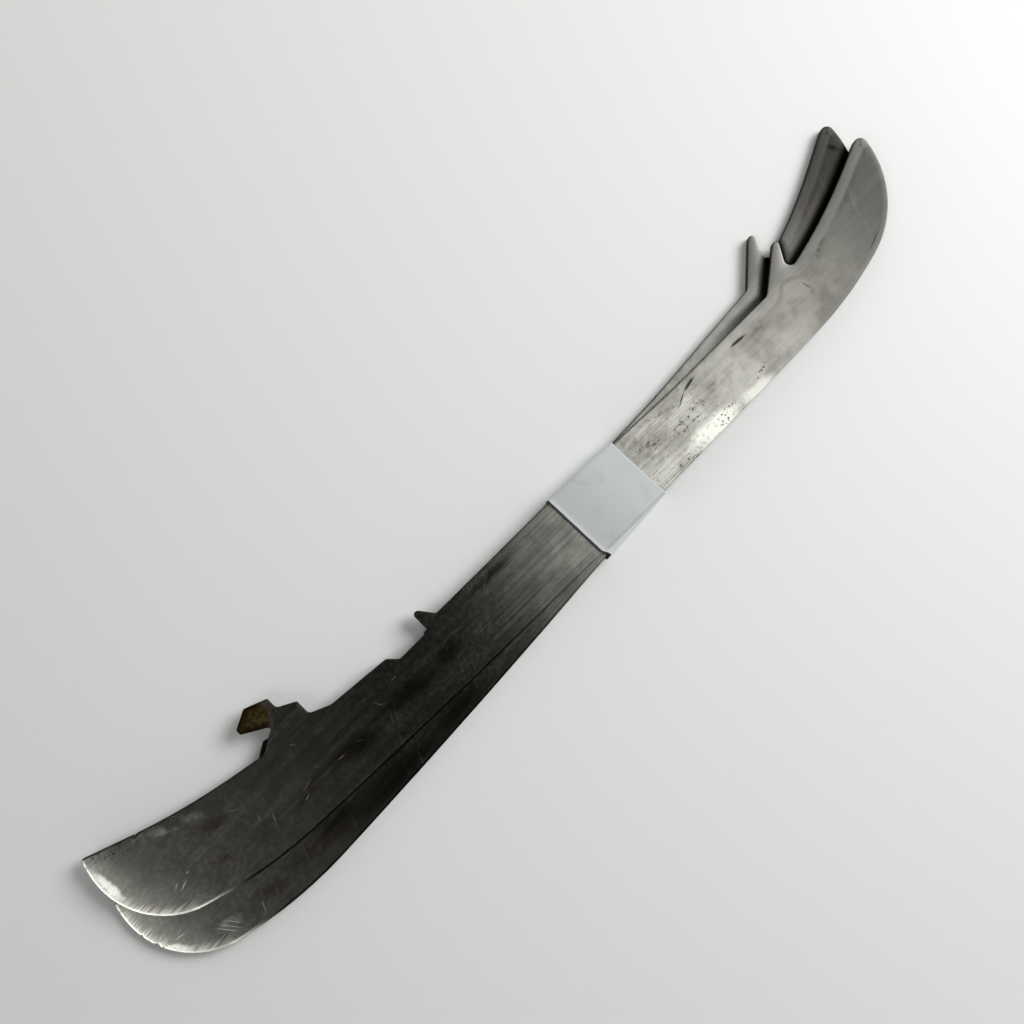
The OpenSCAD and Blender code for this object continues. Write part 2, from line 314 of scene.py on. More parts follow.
# Patterns in the ground steel: length and width in mm, turn in degrees, detail and distortion.
# Belt lines are really about 0.05 mm wide, and are drawn from 0.45 mm so that they show.
STEEL_PATTERNS = {"fine": (20.0, 0.45, 0.0, 1.0, 0.0), "lines": (42.0, 0.9, 0.0, 2.0, 0.0),
                  "broad": (70.0, 2.4, 0.0, 2.0, 0.0), "cloud": (9.0, 8.0, 20.0, 5.0, 0.15),
                  "grain": (1.6, 1.2, 0.0, 2.0, 0.0), "hair": (9.0, 0.2, 62.0, 0.0, 0.3),
                  "cross_hair": (7.0, 0.2, -34.0, 0.0, 0.3)}

# Shares read off those patterns and places: source, range that it is eased over, share at each end
STEEL_SHARES = (
    ("patchy", "cloud", 0.36, 0.64, 0.0, 1.0),
    ("satin", "drift", 256.0, 296.0, 0.0, 0.92),
    # The film is partly real and partly painted dark reflection over the runner's middle
    ("film_start", "drift", 4.0, 34.0, 0.61, 0.98),
    ("film_deep", "drift", 60.0, 108.0, 0.87, 0.99),
    ("film_end", "torn", 186.0, 121.0, 0.0, 1.0),
    ("film_thin", "grain", 0.35, 0.75, 1.0, 0.84),
    ("front", "x", 205.0, 238.0, 0.0, 1.0),
    ("back", "x", 30.0, 16.0, 0.0, 1.0),
    ("near_band", "x", 232.0, 200.0, 0.0, 0.6),
    ("past_band", "x", 168.0, 182.0, 0.0, 1.0),
    ("off_heel", "x", 22.0, 34.0, 0.0, 1.0),
    ("streaky", "x", 165.0, 225.0, 1.0, 0.3),
    ("streaky_heel", "x", 50.0, 135.0, 0.2, 1.0),
    ("dull", "x", 205.0, 250.0, 0.0, 0.14),
    # Painted shade towards the toe
    ("toe_grey", "x", 206.0, 258.0, 0.0, 1.0),
    ("top_edge", "boot_mm", 5.0, 2.0, 0.0, 1.0),
    ("heel_part", "x", 44.0, 24.0, 0.0, 1.0),
    # Painted shade on the lower runner beside the upper runner's edge, towards the toes
    ("lap", "seam_shade_mm", 3.2, 0.9, 0.0, 0.97),
    ("seam_shade_front", "x", 205.0, 250.0, 0.0, 1.0),
    # A lighter border on the rolled-off boot edge towards the toe, partly rubbed steel and partly painted
    # light, with a painted shade line inside it
    ("edging", "boot_mm", 3.5, 2.3, 0.0, 0.4),
    ("inner_edging", "boot_mm", 5.2, 3.6, 0.0, 1.0),
    ("off_edging", "boot_mm", 2.7, 3.6, 0.0, 1.0),
    ("patchy_line", "cloud", 0.40, 0.62, 0.0, 0.3),
    ("polish_reach", "frayed", 7.0, 2.2, 0.0, 0.95),
    ("off_top", "boot_mm", 1.5, 4.5, 0.15, 1.0),
    ("keen_line", "run_mm", 0.9, 0.3, 0.0, 0.9),
    ("toe_line", "run_mm", 1.6, 0.8, 0.0, 0.2),
    # Painted shade along the running edge, over the film
    ("edge_shade_line", "run_mm", 0.75, 0.4, 0.0, 0.9),
    ("streak", "fine", 0.25, 0.75, 0.8, 1.16),
    ("line_streak", "lines", 0.3, 0.7, 0.88, 1.08),
    ("hair_line", "hair", 0.74, 0.82, 0.0, 0.5),
    ("cross_line", "cross_hair", 0.76, 0.84, 0.0, 0.5),
    ("speck", "grain", 0.54, 0.66, 0.0, 0.5),
    ("mottle", "grain", 0.42, 0.62, 0.15, 0.75),
    ("unpatchy", "cloud", 0.5, 0.38, 0.0, 1.0),
    ("pit", "cell", 0.40, 0.24, 0.0, 1.0),
    ("pit_kept", "grain", 0.46, 0.54, 0.0, 1.0),
    ("rust_edge", "boot_mm", 2.2, 0.3, 0.0, 0.95),
    ("rust_ring", "rust", 1.0, 0.5, 0.0, 0.9),
    ("rust_patch", "grain", 0.40, 0.56, 0.0, 0.85),
)

# Shares that are two others multiplied
STEEL_PRODUCTS = (
    ("film", "film_start", "film_end"), ("film", "film", "film_deep"), ("film", "film", "film_thin"),
    ("rim", "edging", "front"), ("line", "inner_edging", "off_edging"), ("line", "line", "front"),
    ("line", "line", "patchy_line"), ("polish", "polish_reach", "off_top"), ("keen", "keen_line", "back"),
    ("toe_rim", "toe_line", "front"), ("pits", "pitted", "pit"), ("pits", "pits", "pit_kept"),
    ("speckle", "speck", "near_band"), ("speckle", "speckle", "past_band"), ("pale", "pale", "patchy"),
    ("stain", "stain", "mottle"), ("edge_shade_line", "edge_shade_line", "off_heel"), ("lap", "lap", "seam_shade_front"),
    ("edge_shade_line", "edge_shade_line", "film_end"), ("streaky", "streaky", "streaky_heel"),
    ("top_speck", "speck", "top_edge"), ("top_speck", "top_speck", "heel_part"),
    ("hairs", "hair_line", "patchy"), ("cross_hairs", "cross_line", "unpatchy"),
)


def ground_steel(name, sizes, shade, toe_shade, spots):
    """Stainless steel ground lengthwise: fine streaks, a dark storage film that is partly painted dark
    reflection, bright worn ends and pits, with painted shade and highlights near its edges.
    """
    material, tree = new_material(name)
    place = add(tree, "Attribute", out="Vector", attribute_name="own_mm")
    read = {"x": add(tree, "SeparateXYZ", {0: place}), "whole": 1.0}
    for share in ("boot_mm", "run_mm", "heel_mm", "seam_shade_mm"):
        read[share] = add(tree, "Attribute", out="Fac", attribute_name=share)
    for pattern, (long, wide, turn, detail, warp) in STEEL_PATTERNS.items():
        drawn = add(tree, "Mapping", {"Vector": place, "Rotation": (0.0, 0.0, radians(turn)),
                                      "Scale": (long, wide, FAR_MM)}, vector_type="TEXTURE")
        read[pattern] = add(tree, "TexNoise", {"Vector": drawn, "Scale": 1.0, "Detail": detail,
                                               "Roughness": 0.6, "Distortion": warp})
    # Corrosion pits about 0.5 mm across on a 0.9 mm spacing
    read["cell"] = add(tree, "TexVoronoi", {"Vector": place, "Scale": 1 / 0.9}, out="Distance")
    # The marks' outlines waver over about 3 mm
    waver = add(tree, "TexNoise", {"Vector": place, "Scale": 1 / 3, "Detail": 3.0}, out="Color")
    for kind, group in spots.items():
        fade, shift, strength = MARK_FADES[kind]
        moved = add(tree, "Mapping", {"Vector": waver, "Location": (-shift / 2, -shift / 2, 0.0),
                                      "Scale": (shift, shift, 0.0)})
        moved = add(tree, "VectorMath", {0: place, 1: moved}, operation="ADD")
        closest = FAR_MM
        for x, y, half_length, half_width, turn in group:
            mark = add(tree, "Mapping", {"Vector": moved, "Location": (x, y, 0.0),
                                         "Rotation": (0.0, 0.0, radians(turn)),
                                         "Scale": (half_length, half_width, FAR_MM)}, vector_type="TEXTURE")
            mark = add(tree, "VectorMath", {0: mark}, out="Value", operation="LENGTH")
            closest = add(tree, "Math", {0: mark, 1: closest}, operation="MINIMUM")
        read[kind] = add(tree, "MapRange", {0: closest, 1: 1.0, 2: 1.0 - fade, 4: strength},
                         interpolation_type="SMOOTHSTEP")
    # The film's heel end drifts with the clouds, its other end is torn along the belt lines,
    # and the polish is frayed
    for share, source, reach, base in (("drift", "cloud", 20.0, "x"), ("torn", "lines", 12.0, "x"),
                                       ("frayed", "fine", 8.0, "heel_mm")):
        read[share] = add(tree, "Math", {0: read[source], 1: reach, 2: read[base]},
                          operation="MULTIPLY_ADD")
    for share, source, low, high, at_low, at_high in STEEL_SHARES:
        read[share] = add(tree, "MapRange", {0: read[source], 1: low, 2: high, 3: at_low, 4: at_high},
                          interpolation_type="SMOOTHSTEP")
    for share, first, second in STEEL_PRODUCTS:
        read[share] = add(tree, "Math", {0: read[first], 1: read[second]}, operation="MULTIPLY")

    rusted = sizes.rust
    for share, over in (("rust_patch", "#33220B"), ("rust_ring", "#43210A"), ("rust_edge", "#1C0A03")):
        rusted = add(tree, "Mix", {0: read[share], 6: rusted, 7: linear(over)}, out=2, data_type="RGBA")
    # Dark dirt, also painted shade in a knocked nick and a painted shadow on the lower runner's rear hook
    dirt = linear("#1B1A18")
    # Rubbed steel, also painted light on the rolled-off boot edge
    rubbed = linear("#BBB9B5")
    tone = sizes.worn
    for share, over, blend in (
        ("patchy", sizes.clean, "MIX"), ("satin", sizes.satin, "MIX"), ("stain", linear("#5C5A52"), "MIX"),
        # The film, partly painted dark reflection, then oil smears
        ("film", sizes.dark, "MIX"), ("smear", linear("#22221D"), "MIX"),
        # The line is painted shade inside the rolled-off boot edge
        ("brown", linear("#3F2D20"), "MIX"), ("line", sizes.dark, "MIX"), ("pale", sizes.clean, "MIX"),
        # The rim is a lighter border on that edge, partly rubbed steel and partly painted light
        ("rim", rubbed, "MIX"), ("toe_rim", rubbed, "MIX"), ("polish", sizes.bright, "MIX"),
        ("keen", sizes.bright, "MIX"), ("streaky", read["streak"], "MULTIPLY"),
        # The bright marks are rubbed steel at the heel and a painted highlight along the running edge
        ("streaky", read["line_streak"], "MULTIPLY"), ("bright", sizes.bright, "MIX"),
        ("speckle", sizes.dark, "MIX"), ("top_speck", dirt, "MIX"), ("hairs", sizes.clean, "MIX"),
        ("cross_hairs", sizes.clean, "MIX"), ("scratch", sizes.clean, "MIX"),
        # Painted shade along the running edge, then nicks with some painted shade, then pits
        ("edge_shade_line", linear("#0C0C0B"), "MIX"), ("nick", dirt, "MIX"), ("pits", dirt, "MIX"),
        # Painted shade beside the upper runner's edge, then rust
        ("lap", linear("#080807"), "MIX"), ("rust", rusted, "MIX"),
        # Painted shade: darker towards the toe on both runners, and darker still at the lower runner's toe
        ("toe_grey", linear("#9E9E9D"), "MULTIPLY"),
        ("satin", (toe_shade, toe_shade, toe_shade, 1.0), "MULTIPLY"),
        ("whole", (shade, shade, shade, 1.0), "MULTIPLY"),
    ):
        tone = add(tree, "Mix", {0: read[share], 6: tone, 7: over},
                   out=2, data_type="RGBA", blend_type=blend)

    # Gloss follows the broad belt lines, and dulls towards the toe and in the rust
    rough = add(tree, "MapRange", {0: read["broad"], 1: 0.3, 2: 0.7, 3: 0.235, 4: 0.295})
    rough = add(tree, "Math", {0: rough, 1: read["dull"]}, operation="ADD")
    rough = add(tree, "Math", {0: read["rust"], 1: 0.3, 2: rough}, operation="MULTIPLY_ADD")
    metal = add(tree, "MapRange", {0: read["rust"], 1: 0.2, 2: 0.8, 3: 1.0, 4: 0.9})
    surface(tree, tone, rough, read["lines"], strength=0.1, depth_mm=0.02, Metallic=metal)
    return material


def wall_steel(name, dark, pale, along, through, rusted, roughness):
    """Steel walls: a laser leaves matt brown-black oxide in upright lines, a wheel grey lengthwise ones."""
    material, tree = new_material(name)
    place = add(tree, "Attribute", out="Vector", attribute_name="own_mm")
    drawn = add(tree, "Mapping", {"Vector": place, "Scale": (1 / along, 1 / along, 1 / through)})
    lines = add(tree, "TexNoise", {"Vector": drawn, "Scale": 1.0, "Detail": 2.0})
    # Rust patches about 7 mm across
    patch = add(tree, "TexNoise", {"Vector": place, "Scale": 1 / 7, "Detail": 4.0})
    patch = add(tree, "MapRange", {0: patch, 1: 0.52, 2: 0.7, 4: rusted}, interpolation_type="SMOOTHSTEP")
    tone = linear(dark)
    for share, over in ((lines, linear(pale)), (patch, linear("#2B1C11"))):
        tone = add(tree, "Mix", {0: share, 6: tone, 7: over}, out=2, data_type="RGBA")
    surface(tree, tone, roughness, lines, strength=0.3, depth_mm=0.05, Metallic=0.8)
    return material


def label_paper(sizes):
    """Coated label paper: smooth, cool white, faintly glossy, soiled by hands and black at one cut edge
    with grime and painted shadow.
    """
    material, tree = new_material("coated_label_paper")
    here = add(tree, "TexCoord", out="Object")
    place = add(tree, "Mapping", {"Vector": here, "Scale": (1 / MM, 1 / MM, 1 / MM)})
    edge = add(tree, "Attribute", out="Fac", attribute_name="edge_mm")
    # Paper fibres are about 0.03 mm wide, and are drawn 0.25 mm wide so that they show
    fibre = add(tree, "TexNoise", {"Vector": place, "Scale": 1 / 0.25, "Detail": 3.0})
    smudge = add(tree, "TexNoise", {"Vector": place, "Scale": 1 / 5, "Detail": 4.0, "Distortion": 0.5})
    ragged = add(tree, "Math", {0: smudge, 1: 0.3, 2: edge}, operation="MULTIPLY_ADD")
    fold = add(tree, "Attribute", out="Fac", attribute_name="fold_mm")
    near_fold = add(tree, "Math", {0: fold}, operation="ABSOLUTE")
    tone = sizes.white
    for source, low, high, at_low, at_high, over in (
        (edge, 20.0, 2.0, 0.0, 0.45, sizes.soil), (smudge, 0.5, 0.8, 0.0, 0.4, sizes.soil),
        # Lighter beyond the crease, partly rubbed clean and partly painted light on the slope
        (fold, -0.2, -0.9, 0.0, 0.6, sizes.bare_and_lit), (near_fold, 0.5, 0.1, 0.0, 0.5, sizes.soil),
        # Painted highlight on the toe-side cut edge, and pale paper beside the heel-side one
        (edge, 23.5, 23.9, 0.0, 0.8, sizes.bare_and_lit), (ragged, 2.4, 1.3, 0.0, 0.5, sizes.bare_and_lit),
        # Dark grime and painted shadow along the heel-side cut edge
        (ragged, 0.95, 0.72, 0.0, 0.98, sizes.grime_and_shadow),
    ):
        share = add(tree, "MapRange", {0: source, 1: low, 2: high, 3: at_low, 4: at_high},
                    interpolation_type="SMOOTHSTEP")
        tone = add(tree, "Mix", {0: share, 6: tone, 7: over}, out=2, data_type="RGBA")
    surface(tree, tone, roughness=0.42, height=fibre, strength=0.15, depth_mm=0.02, IOR=1.5)
    return material


def floor_paint(sizes):
    """Satin white paint on board: even and pale, with a soft sheen."""
    material, tree = new_material("satin_floor_paint")
    # Roller texture of about 2 mm, very faint
    here = add(tree, "TexCoord", out="Object")
    roller = add(tree, "TexNoise", {"Vector": here, "Scale": 1 / (2 * MM), "Detail": 2.0})
    surface(tree, sizes.floor_white, roughness=0.6, height=roller, strength=0.03, depth_mm=0.1)
    return material


def plate_outline(node, place):
    """The boundary of a plate's top face, anticlockwise, in the axes that a place matrix gives."""
    mesh = frame["nodes"][node].data
    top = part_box(node)[1].z
    sides = set()
    # Faces within a micrometre of the top, and their corners to a tenth of that
    for face in mesh.polygons:
        corners = [mesh.vertices[i].co for i in face.vertices]
        if all(abs(corner.z - top) < 1e-6 for corner in corners):
            keys = [(round(corner.x, 7), round(corner.y, 7)) for corner in corners]
            sides.update(zip(keys, keys[1:] + keys[:1]))
    following = {first: second for first, second in sides if (second, first) not in sides}
    if not following:
        raise RuntimeError(f"{node} has no flat top face to take an outline from")
    loop = [min(following)]
    while following[loop[-1]] != loop[0]:
        loop.append(following[loop[-1]])
    back = place.inverted()
    return np.array([(back @ Vector((x, y, 0.0))).xy for x, y in loop])


def even_outline(loop, step):
    """Spaces an outline's points out to about one step, and keeps its corners and small curves."""
    corner = radians(12)
    kept = []
    run = turned = 0.0
    count = len(loop)
    for i in range(count):
        before = loop[i] - loop[i - 1]
        after = loop[(i + 1) % count] - loop[i]
        turn = np.arctan2(before[0] * after[1] - before[1] * after[0], before @ after)
        run += hypot(*before)
        turned += abs(turn)
        if not kept or run >= step or turned > corner:
            kept.append(loop[i])
            run = turned = 0.0
    filled = []
    for first, second in zip(kept, kept[1:] + kept[:1]):
        parts = max(1, round(hypot(*(second - first)) / step))
        filled += [first + (second - first) * share / parts for share in range(parts)]
    return np.array(filled)


def outward(loop):
    """Outward directions at an outline's points, lengthened at corners so that an inset keeps its width."""
    before = loop - np.roll(loop, 1, axis=0)
    after = np.roll(loop, -1, axis=0) - loop
    square = []
    for side in (before, after):
        unit = side / np.linalg.norm(side, axis=1)[:, None]
        square.append(np.stack([unit[:, 1], -unit[:, 0]], axis=1))
    middle = square[0] + square[1]
    middle /= np.linalg.norm(middle, axis=1)[:, None]
    return middle / np.clip((middle * square[1]).sum(axis=1), 0.5, 1.0)[:, None]


def nearest(points, loop):
    """For each point, the closest outline point's number and its distance."""
    gaps = np.linalg.norm(points[:, None, :] - loop[None, :, :], axis=2)
    return gaps.argmin(axis=1), gaps.min(axis=1)


def inside(points, loop):
    """Which points lie within an outline, by counting the sides that a ray to the right crosses."""
    first, second = loop, np.roll(loop, -1, axis=0)
    x, y = points[:, None, 0], points[:, None, 1]
    spans = (first[None, :, 1] > y) != (second[None, :, 1] > y)
    rise = np.where(first[:, 1] == second[:, 1], 1.0, second[:, 1] - first[:, 1])
    reach = (second[:, 0] - first[:, 0])[None, :]
    meets = first[None, :, 0] + (y - first[None, :, 1]) / rise[None, :] * reach
    return (spans & (x < meets)).sum(axis=1) % 2 == 1


def fill(loop, extra):
    """Fills an outline through extra points: all points, the triangles and each outline point's number."""
    count = len(loop)
    given = [Vector(p / MM) for p in np.concatenate([loop, extra])]
    outline = [list(range(count))]
    points, _, triangles, sources, _, origins = delaunay_2d_cdt(given, [], outline, 0, 1e-5, True)
    kept = [tuple(face) for face, origin in zip(triangles, origins) if origin]
    numbers = [0] * count
    for number, source in enumerate(sources):
        for i in source:
            if i < count:
                numbers[i] = number
    return np.array([p[:] for p in points]) * MM, kept, numbers


def nicked(loop, place, width, depth):
    """An outline with a small V knocked into it at the point nearest a place."""
    number = int(np.linalg.norm(loop - place, axis=1).argmin())
    away = outward(loop)[number]
    along = np.array([-away[1], away[0]]) * width / 2
    centre = loop[number]
    cut = np.array([centre - along, centre - away * depth, centre + along])
    apart = np.linalg.norm(loop - centre, axis=1) > 0.6 * width
    rest = np.roll(loop, -number, axis=0)[np.roll(apart, -number)]
    return np.concatenate([cut, rest])


def face_points(loop, away, sizes):
    """Points inside a plate's face: rows along its edge, then an even grid."""
    rows = []
    # Rows across the roll-off, without the points that lie closer to another side
    for share in (0.2, 0.45, 0.7, 1.0):
        row = loop - away * sizes.roll_width * share
        rows.append(row[inside(row, loop) & (nearest(row, loop)[1] > 0.93 * sizes.roll_width * share)])
    low, high = loop.min(axis=0), loop.max(axis=0)
    across, up = (np.arange(low[k], high[k], sizes.face_step) for k in (0, 1))
    grid = np.stack(np.meshgrid(across, up), axis=-1).reshape(-1, 2)
    gap = nearest(grid, loop)[1]
    rows.append(grid[inside(grid, loop) & (gap > sizes.roll_width + 0.5 * sizes.face_step)])
    return np.concatenate(rows)


def runner_mesh(node, place, thickness, cover, sizes):
    """A runner as one closed mesh, with rounded edges, a rolled-off boot side and a hollow running edge."""
    loop = even_outline(plate_outline(node, place), sizes.outline_step)
    for x, y, scale in NICKS[node]:
        loop = nicked(loop, np.array((x, y)) * MM, sizes.nick_width * scale, sizes.nick_depth * scale)
    away = outward(loop)
    count = len(loop)
    toe_tip = int(np.argmax(loop[:, 0] + loop[:, 1]))
    heel_top = int(np.argmax(loop[:, 1] - loop[:, 0]))
    steps = (np.arange(count) - toe_tip) % count
    boot_side = steps <= (heel_top - toe_tip) % count
    running = np.clip((-away[:, 1] - RUNNING_FROM) / RUNNING_SPAN, 0.0, 1.0) * ~boot_side
    edge = sizes.edge_round + (sizes.keen_round - sizes.edge_round) * running
    heel = ~boot_side & (loop[:, 0] < HEEL_REACH)
    dark_edge = boot_side & (loop[:, 0] < FILM_REACH)

    def drop(points):
        """How far the top face lies below the plate's thickness, by roll-off and heel wear."""
        number, gap = nearest(points, loop)
        share = np.clip(1 - gap / sizes.roll_width, 0, 1) ** 2
        forward = np.clip((loop[number, 0] - ROLL_FROM) / ROLL_SPAN, ROLL_LEAST, 1.0)
        worn = np.clip(1 - nearest(points, loop[heel])[1] / sizes.heel_width, 0, 1) ** 2
        return sizes.roll_depth * share * forward * boot_side[number] + sizes.heel_depth * worn

    rim = loop - away * edge[:, None]
    extra = face_points(loop, away, sizes)
    for gap in SEAM_ROWS_MM if len(cover) else ():
        row = cover + outward(cover) * gap * MM
        clear = inside(row, loop) & (nearest(row, loop)[1] > 0.6 * MM)
        clear &= nearest(row, cover)[1] > 0.9 * gap * MM
        extra = np.concatenate([extra, row[clear]])
    flat, faces, first_row = fill(rim, extra)
    vertices = [(x, y, z) for (x, y), z in zip(flat, thickness - drop(flat))]
    kinds = [FACE] * len(faces)

    # Rows round the top edge, along the middle of the wall and round the bottom edge
    rows = []
    rim_drop = drop(rim)
    for turn in (30, 60, 90):
        inset = edge * (1 - sin(radians(turn)))
        depth = edge * (1 - cos(radians(turn))) + rim_drop
        rows.append((inset, thickness - depth))
    rows.append((running * sizes.hollow, np.full(count, thickness / 2)))
    for turn in (90, 60, 30, 0):
        inset = edge * (1 - sin(radians(turn)))
        rows.append((inset, edge * (1 - cos(radians(turn)))))
    numbered = [first_row]
    for inset, height in rows:
        spots = loop - away * inset[:, None]
        numbered.append(list(range(len(vertices), len(vertices) + count)))
        vertices += [(x, y, z) for (x, y), z in zip(spots, height)]
    for upper, lower in zip(numbered, numbered[1:]):
        for i in range(count):
            j = (i + 1) % count
            faces.append((upper[j], upper[i], lower[i], lower[j]))
            rim_side = upper is numbered[0] and not dark_edge[i]
            ground = rim_side or upper is numbered[1] and not boot_side[i]
            kinds.append(FACE if ground else CUT_WALL if boot_side[i] else WHEEL_WALL)
    base = numbered[-1]
    _, under, ends = fill(np.array([vertices[i][:2] for i in base]), np.empty((0, 2)))
    corner = {number: base[i] for i, number in enumerate(ends)}
    for face in under:
        faces.append(tuple(corner[i] for i in reversed(face)))
        kinds.append(FACE)

    mesh = bpy.data.meshes.new(node + "_steel")
    mesh.from_pydata([place @ Vector(vertex) for vertex in vertices], [], faces)
    mesh.polygons.foreach_set("material_index", kinds)
    mesh.polygons.foreach_set("use_smooth", [True] * len(faces))
    spread = np.array(vertices)
    own = mesh.attributes.new("own_mm", "FLOAT_VECTOR", "POINT")
    own.data.foreach_set("vector", (spread / MM).astype(np.float32).ravel())
    for name, side in (("boot_mm", boot_side), ("run_mm", ~boot_side), ("heel_mm", heel)):
        layer = mesh.attributes.new(name, "FLOAT", "POINT")
        layer.data.foreach_set("value", (nearest(spread[:, :2], loop[side])[1] / MM).astype(np.float32))
    # How far each point lies outside the runner above, which sets the painted shade beside that runner's
    # edge
    lap = np.full(len(vertices), FAR_MM)
    if len(cover):
        lap = nearest(spread[:, :2], cover)[1] / MM
        lap[inside(spread[:, :2], cover)] *= -1
    layer = mesh.attributes.new("seam_shade_mm", "FLOAT", "POINT")
    layer.data.foreach_set("value", lap.astype(np.float32))
    mesh.validate()
    mesh.update()
    return mesh


class RUNNERS_OT_make_runners(bpy.types.Operator):
    """Makes the two steel runners over their plates"""

    bl_idname = "runners.make_runners"
    bl_label = "Make Runners"

    def execute(self, context):
        sizes = context.scene.runner_sizes
        walls = (wall_steel("laser_cut_steel", dark="#0A0908", pale="#1B1714", along=0.25, through=3.0,
                            rusted=0.8, roughness=0.6),
                 wall_steel("wheel_ground_steel", dark="#57554F", pale="#7C7A74", along=20.0, through=0.2,
                            rusted=0.25, roughness=0.35))
        # The lower runner's darker toe is partly painted shade beside the upper runner
        for node, turn, slot, shade, toe_shade, spots in (
            ("lower_runner", HALF_FAN, "lower_steel", 0.95, 0.4, LOWER_MARKS),
            ("upper_runner", -HALF_FAN, "upper_steel", 1.0, 0.9, UPPER_MARKS),
        ):
            low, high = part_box(node)
            lift = Vector((0.0, 0.0, low.z))
            place = Matrix.Translation(SWIVEL + lift) @ Matrix.Rotation(turn, 4, "Z")
            place = place @ Matrix.Translation(-SWIVEL_OWN)
            cover = np.empty((0, 2))
            if node == "lower_runner":
                cover = even_outline(plate_outline("upper_runner", place), SEAM_STEP)
            mesh = runner_mesh(node, place, high.z - low.z, cover, sizes)
            mesh.materials.append(ground_steel("ground_" + slot, sizes, shade, toe_shade, spots))
            for wall in walls:
                mesh.materials.append(wall)
            runner = bpy.data.objects.new(node + "_steel", mesh)
            context.scene.collection.objects.link(runner)
            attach(runner, node)
            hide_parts(node)
        return {"FINISHED"}


def share_of(value):
    """A value held between 0 and 1."""
    return min(1.0, max(0.0, value))


def band_section(boot, run, floor, top, sizes):
    """The band's middle line at one place: the inner lap's end, round both runners, the outer lap's end."""
    inner = run + LAP_GAP * sizes.paper
    corners = [(inner, floor + INNER_LAP), (inner, floor), (boot, floor), (boot, top), (run, top),
               (run, floor + OUTER_LAP)]
    bends = (sizes.run_bend, sizes.boot_bend, sizes.boot_bend, sizes.run_bend)
    path = [(Vector(corners[0]), Vector((0.0, -1.0)))]
    for before, corner, after, bend in zip(corners, corners[1:], corners[2:], bends):
        here = Vector(corner)
        came = (here - Vector(before)).normalized()
        goes = (Vector(after) - here).normalized()
        centre = here + (goes - came) * bend
        for step in range(BEND_PARTS + 1):
            turn = step / BEND_PARTS * pi / 2
            point = centre + (came * sin(turn) - goes * cos(turn)) * bend
            path.append((point, came * cos(turn) + goes * sin(turn)))
    path.append((Vector(corners[-1]), Vector((0.0, -1.0))))
    # Points between the corners, as many at each place along the band
    filled = []
    for number, ((first, way), (second, _)) in enumerate(zip(path, path[1:])):
        parts = STRETCH_PARTS.get(number, 1)
        filled += [(first.lerp(second, share / parts), way) for share in range(parts)]
    return filled + [path[-1]]


def band_mesh(low, high, sizes):
    """The paper band as a strip of real thickness, pinched towards the toes, lapped on the running side."""
    half = sizes.paper / 2
    span = high.x - low.x
    # Shares of the band's width where a section stands, closer at the lifted edge
    stations = [0.0, 0.01, 0.02, 0.035, 0.055] + [0.08 + 0.92 * number / 30 for number in range(31)]
    vertices, faces, offsets, folds = [], [], [], []
    for share in stations:
        boot = high.y - sizes.slack - sizes.boot_pinch * share - half
        run = low.y + sizes.slack + sizes.run_pinch * share + half
        top = high.z - sizes.lift - half
        # The crease lies over the upper runner's running edge
        crease = low.y + CREASE_HEEL + (CREASE_TOE - CREASE_HEEL) * share
        raised = max(0.0, 1 - share * span / sizes.lift_reach) ** 2
        for point, way in band_section(boot, run, low.z + half, top, sizes):
            square = Vector((-way.y, way.x)) * half
            at_top = share_of((point.y - (top - TOP_BELOW)) / TOP_DEPTH)
            beyond = share_of((crease - point.x) / (crease - low.y))
            corner = share_of((crease + PULL_FROM - point.x) / PULL_SPAN)
            x = low.x + span * share + sizes.pull * corner * at_top * (1 - share) ** PULL_POWER
            rise = at_top * (sizes.lift * raised * (1 - beyond) - sizes.slope * beyond)
            for side in (square, -square):
                vertices.append((x, point.x + side.x, point.y + side.y + rise))
                offsets.append(share * span / MM)
                folds.append((point.x - crease) / MM if at_top else OFF_TOP_MM)
    width = len(vertices) // len(stations)
    for number in range(len(stations) - 1):
        a, b = number * width, (number + 1) * width
        for i in range(0, width - 2, 2):
            faces.append((a + i, b + i, b + i + 2, a + i + 2))
            faces.append((a + i + 3, b + i + 3, b + i + 1, a + i + 1))
        faces.append((a + 1, b + 1, b, a))
        faces.append((a + width - 2, b + width - 2, b + width - 1, a + width - 1))
    last = (len(stations) - 1) * width
    for i in range(0, width - 2, 2):
        faces.append((i, i + 2, i + 3, i + 1))
        faces.append((last + i + 1, last + i + 3, last + i + 2, last + i))
    mesh = bpy.data.meshes.new("paper_band")
    mesh.from_pydata(vertices, [], faces)
    mesh.polygons.foreach_set("use_smooth", [True] * len(faces))
    for name, values in (("edge_mm", offsets), ("fold_mm", folds)):
        layer = mesh.attributes.new(name, "FLOAT", "POINT")
        layer.data.foreach_set("value", values)
    mesh.validate()
    mesh.update()
    mesh.set_sharp_from_angle(angle=radians(50))
    return mesh


class RUNNERS_OT_make_band(bpy.types.Operator):
    """Makes the paper band round both runners"""

    bl_idname = "runners.make_band"
    bl_label = "Make Band"

    def execute(self, context):
        sizes = context.scene.band_sizes
        low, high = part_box("label_band")
        band = bpy.data.objects.new("paper_band", band_mesh(low, high, sizes))
        band.data.materials.append(label_paper(sizes))
        context.scene.collection.objects.link(band)
        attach(band, "label_band")
        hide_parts("label_band")
        return {"FINISHED"}


